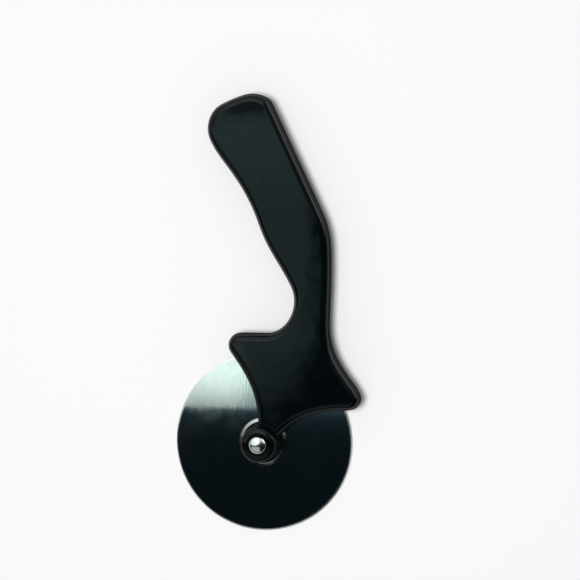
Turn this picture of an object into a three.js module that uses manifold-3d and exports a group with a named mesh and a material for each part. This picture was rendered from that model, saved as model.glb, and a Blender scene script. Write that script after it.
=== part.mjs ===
// Pizza cutter: a flat handle of two shells with a two-horned finger guard, and a steel wheel that
// turns on a sleeve behind the guard, held by one rivet.
// Millimetres. +Z points out of the front face, +Y runs from the wheel towards the butt of the handle.
// The origin lies on the wheel's axis, at the flat back of the rivet.

import * as THREE from 'three';
import { mergeVertices } from 'three/addons/utils/BufferGeometryUtils.js';
import Module from 'manifold-3d';

// Wheel
const WHEEL_D = 70;
const WHEEL_T = 0.8;
const GRIND_W = 1; // width of the bevel ground on the rim
const RIM_T = 0.16; // thickness left at the cutting edge

// Rivet
const SHANK_D = 4;
const HEAD_LAP = 1.5; // how far the head reaches past the shank
const HEAD_H = 2.3;
const TAIL_LAP = 1.8; // and the tail
const TAIL_H = 0.9;
const TAIL_CHAMFER = 0.3;

// Sleeve and washers
const SLEEVE_WALL = 0.9;
const REAR_WASHER_W = 4.7; // width of the washer's ring
const REAR_WASHER_T = 0.8;
const DISH_FLAT_W = 4.8; // width of the dish's flat ring
const DISH_FLANK_W = 1.5; // width of its sloped rim, seen along the axis
const DISH_SHEET = 0.45;
const DISH_DEPTH = 0.45; // hollow under the flat ring
const DISH_LIP = 0.15; // upright edge at the rim

// Clearances
const RUN_GAP = 0.3; // pieces that turn on, slide in or pass through each other
const SEAM_GAP = 0.1; // between the two shells

// Shells
const FRONT_DEPTH = 4.4; // front face to seam
const REAR_DEPTH = 5.3; // seam to back face
const EDGE_R = 2.7; // rounding all along the outline
const WALL = 2;

// Pivot boss
const SEAT_GAP = 0.7; // round the rivet's head in its recess
const SEAT_DEPTH = 0.5;
const BOSS_WALL = 3; // round the recess
const BOSS_PROUD = 0.2; // how far the boss stands out of the front face
const BOSS_RIM_R = 2.6;
const GROOVE_W = 1.2; // groove round the boss in the front face
const GROOVE_FLOOR = 2; // material left between the groove and the seam

// Guard, measured from the wheel's axis
const GUARD_TOP = 43;
const TIP_IN = 1.4; // how far the guard's lower tip runs in under the boss
const TIP_RISE = 1.1;
const TIP_HEADING = 54;
const LEFT_HORN_REACH = 11.4;
const LEFT_HORN_R = 4.4;
const LEFT_FLANK_IN = 1.8; // from the horn's end to the start of the flank below it
const LEFT_FLANK_DROP = 4;
const LEFT_FLANK_HEADING = 306;
const RIGHT_HORN_REACH = 40;
const RIGHT_HORN_RISE = 18.2;
const RIGHT_HORN_R = 4;
const RIGHT_HORN_FLAT = 1.6; // level stretch of the horn's underside
const RIGHT_HORN_TOP_IN = 2; // from the horn's end to the start of the slope above it
const RIGHT_HORN_HEADING = 128;
const GUARD_FILLET_SHARE = 0.52; // of the guard's upper edge, for the curve up to the waist

// Waist
const WAIST_X = 20.7;
const WAIST_ABOVE_GUARD = 13;
const WAIST_W = 13;
const WAIST_STRAIGHT = 9.8; // back edge below the waist, before it curves out to the horn
const HIP_ABOVE_WAIST = 12;
const HIP_OUT = 0.6; // swelling of the back edge above the waist
const NECK_ABOVE_WAIST = 9.6;
const NECK_IN = 3.4; // finger edge above the waist, past the waist's own edge
const NECK_HEADING = 299;

// Grip
const SHOULDER_ABOVE_WAIST = 34.3;
const SHOULDER_IN = 2.9; // from the waist's back edge to the shoulder
const GRIP_LEAN = 25.2; // degrees that the grip leans over from +Y
const GRIP_LENGTH = 54; // shoulder to butt, along the back edge
const GRIP_W = 23.4;
const GRIP_NARROW_SHARE = 0.24; // of the grip's length, for its narrowest place
const BELLY_RISE = 0.7; // swelling of the finger edge beside the shoulder
const BUTT_FLARE = 4; // how much wider the butt is than the grip
const FLARE_PLACE_SHARE = 0.52; // of the grip's length, for the middle of the flare
const FLARE_RISE_SHARE = 0.36; // of the flare, reached there
const FLARE_TURN = 10;
const BUTT_BACK_ROUND = 8; // length of the butt's rounded corner at the back edge
const BUTT_FINGER_ROUND = 12; // and at the finger edge
const BUTT_CORNER_SHARE = 0.36; // of the butt's width, for each rounded corner

// Pins that locate the shells
const PIN_D = 2.2;
const POST_WALL = 1.2; // round each pin's socket
const GRIP_PINS = 3;
const PIN_SPAN_SHARE = 0.76; // of the grip's length, from the first pin to the last

// Smoothness
const CURVE_STEPS = 7; // straight steps in each curve of the outline
const EDGE_STEPS = 3;
const ROUND_STEPS = 32;
const WHEEL_STEPS = 96;
const DISH_STEPS = 48;
const CURVE_PULL = 0.38; // handle of each curve, as a share of its chord
const INSET_KEEP = 0.97; // share of an inset that a moved point has to keep
const WELD = 1e-4;

// Headings of the outline, in degrees from +X
const TO_RIGHT = 0;
const UPWARDS = 90;
const TO_LEFT = 180;
const DOWNWARDS = 270;

// Turns from the grip's own direction, which runs along its back edge to the butt
const TO_BUTT = 0;
const ACROSS_BUTT = 90;
const TO_WAIST = 180;

// Finishes
const BLACK_PLASTIC = { color: 0x111315, roughness: 0.22, metalness: 0 };
const POLISHED_STEEL = { color: 0xc8cbcd, roughness: 0.16, metalness: 1 };
const PLAIN_STEEL = { color: 0xa9adb0, roughness: 0.35, metalness: 1 };

// Places along the axis, from the back
const rearWasherZ = TAIL_H;
const sleeveZ = rearWasherZ + REAR_WASHER_T;
const wheelZ = sleeveZ + RUN_GAP;
const dishZ = wheelZ + WHEEL_T + RUN_GAP;
const backZ = dishZ + DISH_DEPTH + DISH_SHEET;
const seamZ = backZ + REAR_DEPTH;
const grooveZ = seamZ + GROOVE_FLOOR;
const frontZ = seamZ + FRONT_DEPTH;
const bossTopZ = frontZ + BOSS_PROUD;
const seatZ = bossTopZ - SEAT_DEPTH;

// Radii, each from the piece that it clears or holds
const shankR = SHANK_D / 2;
const shankHoleR = shankR + RUN_GAP;
const headR = shankR + HEAD_LAP;
const tailR = shankR + TAIL_LAP;
const seatR = headR + SEAT_GAP;
const bossR = seatR + BOSS_WALL;
const grooveR = bossR + GROOVE_W;
const sleeveR = shankHoleR + SLEEVE_WALL;
const sleeveHoleR = sleeveR + RUN_GAP;
const rearWasherR = shankHoleR + REAR_WASHER_W;
const dishFlatR = sleeveHoleR + DISH_FLAT_W;
const dishR = dishFlatR + DISH_FLANK_W;
const pinR = PIN_D / 2;
const socketR = pinR + RUN_GAP;
const postR = socketR + POST_WALL;

const wasm = await Module();
wasm.setup();

// A closed geometry as a solid that can be joined and cut.
function toSolid(geometry) {
  geometry.deleteAttribute('normal');
  geometry.deleteAttribute('uv');
  const welded = mergeVertices(geometry, WELD);
  const corners = welded.index.array;
  const triVerts = [];
  for (let i = 0; i < corners.length; i += 3) {
    const [a, b, c] = corners.slice(i, i + 3);
    if (a !== b && b !== c && c !== a) {
      triVerts.push(a, b, c);
    }
  }
  return new wasm.Manifold(new wasm.Mesh({
    numProp: 3,
    vertProperties: welded.attributes.position.array,
    triVerts: Uint32Array.from(triVerts),
  }));
}

// A solid's surface as a geometry.
function toGeometry(solid) {
  const { vertProperties, triVerts } = solid.getMesh();
  const geometry = new THREE.BufferGeometry();
  geometry.setAttribute('position', new THREE.BufferAttribute(vertProperties, 3));
  geometry.setIndex(new THREE.BufferAttribute(triVerts, 1));
  geometry.computeVertexNormals();
  return geometry;
}

// A section of [radius, height] points turned round the wheel's axis.
function turned(section, steps = ROUND_STEPS) {
  const points = section.map(([radius, height]) => new THREE.Vector2(radius, height));
  return new THREE.LatheGeometry(points, steps).rotateX(Math.PI / 2);
}

// A ring with square corners, from one radius and height to another.
function ring(innerR, outerR, bottomZ, topZ) {
  return turned([
    [innerR, bottomZ],
    [outerR, bottomZ],
    [outerR, topZ],
    [innerR, topZ],
    [innerR, bottomZ],
  ]);
}

// A round bar that stands on the point x, y, from one height to another.
function bar(radius, x, y, bottomZ, topZ) {
  const length = topZ - bottomZ;
  const geometry = new THREE.CylinderGeometry(radius, radius, length, ROUND_STEPS);
  return toSolid(geometry.rotateX(Math.PI / 2).translate(x, y, bottomZ + length / 2));
}

// Section points of a rounded rim, from its outer side over to its top.
function roundedRim(centreR, centreZ, reach, rise) {
  const points = [];
  const steps = EDGE_STEPS + 1;
  for (let step = 0; step <= steps; step += 1) {
    const angle = (Math.PI / 2) * (step / steps);
    points.push([centreR + reach * Math.cos(angle), centreZ + rise * Math.sin(angle)]);
  }
  return points;
}

// A place on the outline, and the heading in which the outline runs through it.
function knot(x, y, heading) {
  const angle = THREE.MathUtils.degToRad(heading);
  return { at: new THREE.Vector2(x, y), way: new THREE.Vector2(Math.cos(angle), Math.sin(angle)) };
}

// A knot given along and across the grip, from the shoulder.
function gripKnot(along, across, turn) {
  const lean = THREE.MathUtils.degToRad(GRIP_LEAN);
  const shoulderX = WAIST_X + WAIST_W / 2 - SHOULDER_IN;
  const shoulderY = GUARD_TOP + WAIST_ABOVE_GUARD + SHOULDER_ABOVE_WAIST;
  const x = shoulderX - along * Math.sin(lean) - across * Math.cos(lean);
  const y = shoulderY + along * Math.cos(lean) - across * Math.sin(lean);
  return knot(x, y, UPWARDS + GRIP_LEAN + turn);
}

// The guard's lower right edge and its right horn.
function rightHornKnots() {
  return [
    knot(bossR - TIP_IN, TIP_RISE, TIP_HEADING),
    knot(RIGHT_HORN_REACH - RIGHT_HORN_R - RIGHT_HORN_FLAT, RIGHT_HORN_RISE - RIGHT_HORN_R, TO_RIGHT),
    knot(RIGHT_HORN_REACH, RIGHT_HORN_RISE, UPWARDS),
    knot(RIGHT_HORN_REACH - RIGHT_HORN_TOP_IN, RIGHT_HORN_RISE + RIGHT_HORN_R, RIGHT_HORN_HEADING),
  ];
}

// The waist's back edge, the grip and its butt, and back to the waist's finger edge.
function gripKnots() {
  const waistY = GUARD_TOP + WAIST_ABOVE_GUARD;
  const waistLeft = WAIST_X - WAIST_W / 2;
  const waistRight = WAIST_X + WAIST_W / 2;
  const buttW = GRIP_W + BUTT_FLARE;
  const corner = buttW * BUTT_CORNER_SHARE;
  const flareW = GRIP_W + BUTT_FLARE * FLARE_RISE_SHARE;
  return [
    knot(waistRight, waistY - WAIST_STRAIGHT, UPWARDS),
    knot(waistRight + HIP_OUT, waistY + HIP_ABOVE_WAIST, UPWARDS),
    gripKnot(0, 0, TO_BUTT),
    gripKnot(GRIP_LENGTH - BUTT_BACK_ROUND, 0, TO_BUTT),
    gripKnot(GRIP_LENGTH, corner, ACROSS_BUTT),
    gripKnot(GRIP_LENGTH, buttW - corner, ACROSS_BUTT),
    gripKnot(GRIP_LENGTH - BUTT_FINGER_ROUND, buttW, TO_WAIST),
    gripKnot(GRIP_LENGTH * FLARE_PLACE_SHARE, flareW, TO_WAIST + FLARE_TURN),
    gripKnot(GRIP_LENGTH * GRIP_NARROW_SHARE, GRIP_W, TO_WAIST),
    gripKnot(0, GRIP_W + BELLY_RISE, TO_WAIST),
    knot(waistLeft - NECK_IN, waistY + NECK_ABOVE_WAIST, NECK_HEADING),
    knot(waistLeft, waistY, DOWNWARDS),
  ];
}

// The guard's upper edge, its left horn and the flank down to the boss.
function leftHornKnots() {
  const waistLeft = WAIST_X - WAIST_W / 2;
  const hornStart = LEFT_HORN_R - LEFT_HORN_REACH;
  const filletEnd = THREE.MathUtils.lerp(waistLeft, hornStart, GUARD_FILLET_SHARE);
  const hornBottom = GUARD_TOP - LEFT_HORN_R;
  return [
    knot(filletEnd, GUARD_TOP, TO_LEFT),
    knot(hornStart, GUARD_TOP, TO_LEFT),
    knot(-LEFT_HORN_REACH, hornBottom, DOWNWARDS),
    knot(LEFT_FLANK_IN - LEFT_HORN_REACH, hornBottom - LEFT_FLANK_DROP, LEFT_FLANK_HEADING),
    knot(0, bossR, DOWNWARDS),
    knot(0, bossR - TIP_IN, DOWNWARDS),
  ];
}

// The handle's outline as points, counterclockwise from its lower tip: a straight line between two knots
// that point at each other, and otherwise a curve. The close at the tip is straight.
function outlinePoints() {
  const knots = [...rightHornKnots(), ...gripKnots(), ...leftHornKnots()];
  const path = new THREE.Path();
  path.moveTo(knots[0].at.x, knots[0].at.y);
  for (let i = 1; i < knots.length; i += 1) {
    const from = knots[i - 1];
    const to = knots[i];
    const chord = to.at.clone().sub(from.at);
    const pull = CURVE_PULL * chord.length();
    const bend = Math.abs(chord.cross(from.way)) + Math.abs(chord.cross(to.way));
    if (bend < WELD) {
      path.lineTo(to.at.x, to.at.y);
    } else {
      const leave = from.at.clone().addScaledVector(from.way, pull);
      const arrive = to.at.clone().addScaledVector(to.way, -pull);
      path.bezierCurveTo(leave.x, leave.y, arrive.x, arrive.y, to.at.x, to.at.y);
    }
  }
  return path.getPoints(CURVE_STEPS);
}

// How far a point lies from a closed run of points.
function distanceToLoop(point, loop) {
  const start = new THREE.Vector3();
  const end = new THREE.Vector3();
  const nearest = new THREE.Vector3();
  const probe = new THREE.Vector3(point.x, point.y, 0);
  const distances = loop.map((from, i) => {
    const to = loop[(i + 1) % loop.length];
    const side = new THREE.Line3(start.set(from.x, from.y, 0), end.set(to.x, to.y, 0));
    side.closestPointToPoint(probe, true, nearest);
    return nearest.distanceTo(probe);
  });
  return Math.min(...distances);
}

// The outline moved inwards, without the stretches where the moved line would cross itself.
function insetLoop(loop, inset) {
  const moved = loop.map((point, i) => {
    const before = loop[(i + loop.length - 1) % loop.length];
    const after = loop[(i + 1) % loop.length];
    const way = after.clone().sub(before).normalize();
    return new THREE.Vector2(point.x - way.y * inset, point.y + way.x * inset);
  });
  return moved.filter((point) => distanceToLoop(point, loop) > inset * INSET_KEEP);
}

// The handle's outer body: the outline with rounded edges, the boss, and the groove round the boss.
function handleBody(loop) {
  const slab = new THREE.ExtrudeGeometry(new THREE.Shape(loop), {
    depth: frontZ - backZ - 2 * EDGE_R,
    bevelThickness: EDGE_R,
    bevelSize: EDGE_R,
    bevelOffset: -EDGE_R,
    bevelSegments: EDGE_STEPS,
  }).translate(0, 0, backZ + EDGE_R);
  const groove = bar(grooveR, 0, 0, grooveZ, bossTopZ);
  const rimR = Math.min(BOSS_RIM_R, BOSS_WALL);
  const boss = turned([
    [0, backZ],
    [bossR, backZ],
    ...roundedRim(bossR - rimR, bossTopZ - rimR, rimR, rimR),
    [seatR, bossTopZ],
    [seatR, seatZ],
    [0, seatZ],
  ]);
  return toSolid(slab).subtract(groove).add(toSolid(boss));
}

// Places of the locating pins: a row along the grip's middle, and one in each horn.
function pinPlaces() {
  const places = [
    new THREE.Vector2(LEFT_HORN_R - LEFT_HORN_REACH, GUARD_TOP - LEFT_HORN_R),
    new THREE.Vector2(RIGHT_HORN_REACH - RIGHT_HORN_R, RIGHT_HORN_RISE),
  ];
  const pitch = (GRIP_LENGTH * PIN_SPAN_SHARE) / (GRIP_PINS - 1);
  for (let i = 0; i < GRIP_PINS; i += 1) {
    places.push(gripKnot(pitch * i, GRIP_W / 2, TO_BUTT).at);
  }
  return places;
}

// The hollow inside the shells, which leaves a solid hub round the boss and a post for each pin.
function hollow(loop) {
  const core = new THREE.ExtrudeGeometry(new THREE.Shape(insetLoop(loop, WALL)), {
    depth: frontZ - backZ - 2 * WALL,
    bevelEnabled: false,
  }).translate(0, 0, backZ + WALL);
  let space = toSolid(core).subtract(bar(grooveR + WALL, 0, 0, backZ, frontZ));
  for (const place of pinPlaces()) {
    space = space.subtract(bar(postR, place.x, place.y, backZ, frontZ));
  }
  return space;
}

// A block that covers the whole handle between two heights.
function layer(loop, bottomZ, topZ) {
  const box = new THREE.Box2().setFromPoints(loop).expandByScalar(2 * bossR);
  const size = box.getSize(new THREE.Vector2());
  const middle = box.getCenter(new THREE.Vector2());
  const block = new THREE.BoxGeometry(size.x, size.y, topZ - bottomZ);
  return toSolid(block.translate(middle.x, middle.y, (bottomZ + topZ) / 2));
}

// The two shells: the hollow handle parted at the seam, with pins on the rear and sockets in the front.
function shells() {
  const loop = outlinePoints();
  const shankHole = bar(shankHoleR, 0, 0, backZ - RUN_GAP, bossTopZ);
  const whole = handleBody(loop).subtract(hollow(loop)).subtract(shankHole);
  const frontBottom = seamZ + SEAM_GAP / 2;
  const rearTop = seamZ - SEAM_GAP / 2;
  const socketTop = frontZ - WALL;
  let front = whole.intersect(layer(loop, frontBottom, bossTopZ + RUN_GAP));
  let rear = whole.intersect(layer(loop, backZ - RUN_GAP, rearTop));
  for (const place of pinPlaces()) {
    front = front.subtract(bar(socketR, place.x, place.y, frontBottom - RUN_GAP, socketTop));
    rear = rear.add(bar(pinR, place.x, place.y, backZ + WALL, socketTop - RUN_GAP));
  }
  return { front: toGeometry(front), rear: toGeometry(rear) };
}

// The wheel: a flat disc with a bevel ground on both sides of its rim.
function wheelGeometry() {
  const rimR = WHEEL_D / 2;
  const flatR = rimR - GRIND_W;
  const middleZ = wheelZ + WHEEL_T / 2;
  const topZ = wheelZ + WHEEL_T;
  return turned([
    [sleeveHoleR, wheelZ],
    [flatR, wheelZ],
    [rimR, middleZ - RIM_T / 2],
    [rimR, middleZ + RIM_T / 2],
    [flatR, topZ],
    [sleeveHoleR, topZ],
    [sleeveHoleR, wheelZ],
  ], WHEEL_STEPS);
}

// The rivet: flattened tail, shank and domed head.
function rivetGeometry() {
  return turned([
    [0, 0],
    [tailR - TAIL_CHAMFER, 0],
    [tailR, TAIL_CHAMFER],
    [tailR, TAIL_H],
    [shankR, TAIL_H],
    [shankR, seatZ],
    ...roundedRim(0, seatZ, headR, HEAD_H).slice(0, -1),
    [0, seatZ + HEAD_H],
  ]);
}

// The dished washer: a flat ring with a sloped rim that reaches down towards the wheel.
function dishGeometry() {
  const hollowZ = dishZ + DISH_DEPTH;
  return turned([
    [sleeveHoleR, hollowZ],
    [dishFlatR - DISH_SHEET / 2, hollowZ],
    [dishR - DISH_SHEET, dishZ],
    [dishR, dishZ],
    [dishR, dishZ + DISH_LIP],
    [dishFlatR, backZ],
    [sleeveHoleR, backZ],
    [sleeveHoleR, hollowZ],
  ], DISH_STEPS);
}

// A named piece with its own material.
function piece(name, geometry, finish) {
  const mesh = new THREE.Mesh(geometry, new THREE.MeshStandardMaterial(finish));
  mesh.name = name;
  return mesh;
}

const { front, rear } = shells();

const handle = new THREE.Group();
handle.add(piece('front_shell', front, BLACK_PLASTIC), piece('rear_shell', rear, BLACK_PLASTIC));

const axle = new THREE.Group();
axle.add(
  piece('axle_rivet', rivetGeometry(), POLISHED_STEEL),
  piece('axle_sleeve', ring(shankHoleR, sleeveR, sleeveZ, backZ), PLAIN_STEEL),
  piece('rear_washer', ring(shankHoleR, rearWasherR, rearWasherZ, sleeveZ), PLAIN_STEEL),
  piece('dished_washer', dishGeometry(), POLISHED_STEEL),
);

const cutter = new THREE.Group();
cutter.add(handle, axle, piece('blade', wheelGeometry(), POLISHED_STEEL));

export default cutter;
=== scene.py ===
"""Looks of a hand-held pizza cutter: its moulded shells, axle pieces and wheel, with floor, light and camera.

The cutter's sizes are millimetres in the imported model's frame: the wheel turns round Z, +Z points out of the
handle's front face, +Y runs to the butt of the handle and +X to the right horn of the guard. Sizes in the
finishes and the studio are metres.
"""

import logging
import math
from collections.abc import Callable, Sequence
from dataclasses import dataclass, field
from enum import Enum
from typing import NamedTuple

import bmesh
import bpy
import numpy as np
from mathutils import Matrix, Vector


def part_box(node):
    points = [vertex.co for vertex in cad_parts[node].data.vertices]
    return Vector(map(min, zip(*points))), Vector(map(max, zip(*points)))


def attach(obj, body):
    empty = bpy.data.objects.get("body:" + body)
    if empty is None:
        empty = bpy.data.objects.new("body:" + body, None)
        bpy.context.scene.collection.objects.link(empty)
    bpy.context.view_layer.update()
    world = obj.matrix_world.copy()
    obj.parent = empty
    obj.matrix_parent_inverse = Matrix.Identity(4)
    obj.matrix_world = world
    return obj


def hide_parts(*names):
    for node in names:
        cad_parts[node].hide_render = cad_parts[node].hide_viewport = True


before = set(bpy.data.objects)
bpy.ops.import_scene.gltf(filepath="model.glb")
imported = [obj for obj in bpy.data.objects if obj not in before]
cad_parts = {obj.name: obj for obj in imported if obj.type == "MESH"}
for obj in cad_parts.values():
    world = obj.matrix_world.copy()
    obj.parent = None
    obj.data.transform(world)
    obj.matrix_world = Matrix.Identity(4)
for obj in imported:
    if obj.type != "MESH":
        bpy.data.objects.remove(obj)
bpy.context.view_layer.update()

MM = 0.001  # metres in a millimetre
WELD = 0.002  # points closer than this are one
SHARP_ANGLE = math.radians(35)  # edges that turn more than this stay crisp
QUARTER = np.pi / 2
NEAR_CIRCLE = 0.5523  # handle of a cubic that follows a quarter circle
SUPPORT = 0.06  # furthest that a supporting point stands from a rounding
SUPPORT_SHARE = 0.2  # its distance as a share of a small rounding
STEEP = "steepness"  # attribute of the shells' points
FLAT = (1.0, 1.0, 0.0)  # keeps x and y of a vector
CLOUD = (4.0, 0.55)  # finer layers of a cloudy noise, and their strength
GRAIN = (3.0, 0.6)  # the same of a grain
WANDER = 0.0006  # how far turning marks stray
SCRATCH_TURN = 1.45  # direction of the hair scratches
SCRATCH_DRAW = (1.0, 0.035, 1.0)  # what draws them out
SCRATCH_PATCHES = (160.0, 1.0)  # frequency and finer layers of the patches that have them

log = logging.getLogger("pizza_cutter")

Array = np.ndarray
Mesh = bpy.types.Mesh
Material = bpy.types.Material
Socket = bpy.types.NodeSocket
Pair = tuple[float, float]
Triple = tuple[float, float, float]
Colour = tuple[float, float, float, float]
Value = float | Sequence[float] | Socket
Inputs = dict[str | int, Value]
Given = dict[str, Socket]


class Body(Enum):
    """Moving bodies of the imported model."""

    HANDLE = "handle"
    WHEEL = "wheel"


class Slot(Enum):
    """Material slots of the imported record."""

    PLASTIC = "black_plastic"
    RIVET = "rivet_steel"
    PLAIN = "plain_steel"
    PRESSED = "pressed_steel"
    BLADE = "blade_steel"


class Join(Enum):
    """Ways of putting one closed surface to another."""

    ADD = "UNION"
    CUT = "DIFFERENCE"


class Heading(float, Enum):
    """Directions in which the outline runs, in degrees from +X."""

    RIGHT = 0.0
    UP = 90.0
    LEFT = 180.0
    DOWN = 270.0


class Fade(NamedTuple):
    """A smooth step from low, at begin and before it, to high, at end and after it."""

    begin: float
    end: float
    low: float = 0.0
    high: float = 1.0


SCRATCH_SHARE = Fade(0.56, 0.68)  # noise over which a patch sets in


# Surfaces


@dataclass(frozen=True)
class Surface:
    """A closed surface in millimetres."""

    points: Array  # a row of x, y and z for each
    quads: Array  # a row of four point numbers for each face of the grid
    caps: tuple[Array, ...] = ()  # closing polygons, each a run of point numbers

    def mesh(self, name: str) -> Mesh:
        """Puts the surface into a mesh.

        Args:
            name: Name of the mesh.

        Returns:
            The mesh, still in millimetres, with its doubles merged and its faces pointing out.
        """
        mesh = bpy.data.meshes.new(name)
        faces = [*self.quads.tolist(), *(cap.tolist() for cap in self.caps)]
        mesh.from_pydata(self.points.tolist(), [], faces)
        close_up(mesh)
        return mesh


def close_up(mesh: Mesh) -> None:
    """Merges doubles, drops faces without area and turns the faces outwards.

    Args:
        mesh: A mesh in millimetres, changed in place.
    """
    form = bmesh.new()
    form.from_mesh(mesh)
    bmesh.ops.remove_doubles(form, verts=form.verts, dist=WELD)
    bmesh.ops.dissolve_degenerate(form, edges=form.edges, dist=WELD)
    bmesh.ops.recalc_face_normals(form, faces=form.faces)
    form.to_mesh(mesh)
    form.free()


def box_mm(node: str) -> tuple[Vector, Vector]:
    """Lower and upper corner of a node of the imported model, in millimetres."""
    low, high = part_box(node)
    return low / MM, high / MM


def grid_quads(rows: int, columns: int, ring: bool) -> Array:
    """Faces of a grid whose columns close on themselves.

    Args:
        rows: Number of rows.
        columns: Number of points in each row.
        ring: Whether the last row joins the first one.

    Returns:
        Four point numbers for each face, where point (i, j) has the number i * columns + j.
    """
    row = np.arange(rows if ring else rows - 1)[:, None] * columns
    upper = (row + columns) % (rows * columns)
    column = np.arange(columns)[None, :]
    beside = (column + 1) % columns
    corners = [row + column, row + beside, upper + beside, upper + column]
    return np.stack(corners, axis=-1).reshape(-1, 4)


def turned(section: Array, steps: int, centre: Pair = (0.0, 0.0)) -> Surface:
    """Turns a section round an upright axis.

    Point (i, j) is (radius_i cos a_j, radius_i sin a_j, height_i), with a_j running round the axis. A section
    that starts on the axis is open and ends on it too, and any other closes on itself.

    Args:
        section: One row of radius and height for each point.
        steps: Number of points round the axis.
        centre: Where the axis stands.

    Returns:
        The turned surface.
    """
    angle = np.linspace(0.0, 2.0 * np.pi, steps, endpoint=False)
    radius = section[:, :1]
    height = np.broadcast_to(section[:, 1:], (len(section), steps))
    x = centre[0] + radius * np.cos(angle)
    y = centre[1] + radius * np.sin(angle)
    points = np.stack([x, y, height], axis=-1).reshape(-1, 3)
    return Surface(points, grid_quads(len(section), steps, ring=section[0, 0] > 0))


def unit(ways: Array) -> Array:
    """Makes each vector one long."""
    return ways / np.linalg.norm(ways, axis=-1, keepdims=True)


def cubic(a: Array, b: Array, c: Array, d: Array, t: Array) -> Array:
    """Cubics from a to d with handles b and c: (1-t)^3 a + 3(1-t)^2 t b + 3(1-t) t^2 c + t^3 d."""
    t = t[None, :, None]
    return (1 - t) ** 3 * a + 3 * (1 - t) ** 2 * t * b + 3 * (1 - t) * t**2 * c + t**3 * d


def rounded_section(corners: Sequence[Triple], steps: int = 6) -> Array:
    """Rounds the corners of a closed section.

    Each corner becomes a cubic from a point at its rounding before the corner to one as far after it, with
    handles that follow a quarter circle, and a point stands close to either end so that flats shade flat.

    Args:
        corners: Radius, height and rounding of each corner.
        steps: Points on each rounding.

    Returns:
        One row of radius and height for each point.
    """
    table = np.array(corners)[:, None, :]
    corner, rounding = table[..., :2], table[..., 2:]
    before = unit(np.roll(corner, 1, axis=0) - corner)
    after = unit(np.roll(corner, -1, axis=0) - corner)
    start = corner + rounding * before
    end = corner + rounding * after
    leave = start + NEAR_CIRCLE * (corner - start)
    arrive = end + NEAR_CIRCLE * (corner - end)
    arc = cubic(start, leave, arrive, end, np.linspace(0.0, 1.0, steps))
    support = np.minimum(SUPPORT, SUPPORT_SHARE * rounding)
    runs = [start + support * before, arc, end + support * after]
    return np.concatenate(runs, axis=1).reshape(-1, 2)


def gathered(surfaces: Sequence[Surface]) -> Surface:
    """Puts surfaces that have no caps, and don't touch each other, into one."""
    starts = np.cumsum([0, *(len(surface.points) for surface in surfaces)])
    quads = [surface.quads + start for surface, start in zip(surfaces, starts)]
    return Surface(np.concatenate([surface.points for surface in surfaces]), np.concatenate(quads))


def combined(base: Surface, steps: Sequence[tuple[Join, Surface]], name: str) -> Mesh:
    """Joins surfaces to a base and cuts others out of it, in order.

    Args:
        base: The surface to start from.
        steps: What is done, and with which surface.
        name: Name of the mesh.

    Returns:
        The finished mesh, in millimetres.
    """
    helpers = [bpy.data.objects.new(name, surface.mesh(name)) for surface in (base, *(s for _, s in steps))]
    for helper in helpers:
        bpy.context.scene.collection.objects.link(helper)
    for (join, _), helper in zip(steps, helpers[1:]):
        modifier = helpers[0].modifiers.new(join.name, "BOOLEAN")
        modifier.operation = join.value
        modifier.solver = "MANIFOLD"
        modifier.object = helper
    result = helpers[0].evaluated_get(bpy.context.evaluated_depsgraph_get())
    mesh = bpy.data.meshes.new_from_object(result)
    for helper in helpers:
        spent = helper.data
        bpy.data.objects.remove(helper)
        bpy.data.meshes.remove(spent)
    close_up(mesh)
    return mesh


def place(mesh: Mesh, name: str, body: Body, material: Material, node: str) -> None:
    """Makes a mesh a piece of the object, at the origin and in metres.

    Args:
        mesh: The piece's mesh, in millimetres.
        name: Name of the piece.
        body: The body that it moves with.
        material: Its material.
        node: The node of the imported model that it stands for.
    """
    mesh.name = name
    mesh.transform(Matrix.Scale(MM, 4))
    mesh.shade_smooth()
    mesh.set_sharp_from_angle(angle=SHARP_ANGLE)
    mesh.materials.clear()
    mesh.materials.append(material)
    piece = bpy.data.objects.new(name, mesh)
    bpy.context.scene.collection.objects.link(piece)
    piece.modifiers.new("level_faces_stay_level", "WEIGHTED_NORMAL").keep_sharp = True
    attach(piece, body.value)
    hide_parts(node)
    log.info("%s: %d faces, rides on %s, stands for %s", name, len(mesh.polygons), body.value, node)


def mark_steepness(mesh: Mesh) -> None:
    """Stores how steep a surface is at each point: 1 - |z| of the normal, 0 on a level face and 1 on a wall.

    Args:
        mesh: The mesh, which gets the attribute.
    """
    normals = np.empty(3 * len(mesh.vertices), dtype=np.float32)
    mesh.vertex_normals.foreach_get("vector", normals)
    layer = mesh.attributes.new(STEEP, "FLOAT", "POINT")
    layer.data.foreach_set("value", 1.0 - np.abs(normals[2::3]))


# Outline


def curve_through(knots: Sequence[Triple], pull: float, steps: int) -> Array:
    """Draws a closed curve through places with given headings.

    From each knot to the next it is a cubic whose handles lie along their headings.

    Args:
        knots: X, y and heading in degrees of each knot.
        pull: Share of the distance between two knots at which their handles lie.
        steps: Points from each knot to the next.

    Returns:
        One row of x and y for each point.
    """
    table = np.array(knots)[:, None, :]
    start = table[..., :2]
    end = np.roll(start, -1, axis=0)
    angle = np.radians(table[..., 2:])
    way = np.concatenate([np.cos(angle), np.sin(angle)], axis=-1)
    reach = pull * np.linalg.norm(end - start, axis=-1, keepdims=True)
    leave = start + reach * way
    arrive = end - reach * np.roll(way, -1, axis=0)
    return cubic(start, leave, arrive, end, np.linspace(0.0, 1.0, steps, endpoint=False)).reshape(-1, 2)


def evenly_spaced(loop: Array, count: int) -> Array:
    """Spaces points evenly along a closed loop.

    Args:
        loop: Points of the loop.
        count: Number of points wanted.

    Returns:
        The new points.
    """
    closed = np.vstack([loop, loop[:1]])
    gone = np.concatenate([[0.0], np.cumsum(np.linalg.norm(np.diff(closed, axis=0), axis=1))])
    places = np.linspace(0.0, gone[-1], count, endpoint=False)
    return np.column_stack([np.interp(places, gone, closed[:, 0]), np.interp(places, gone, closed[:, 1])])


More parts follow.
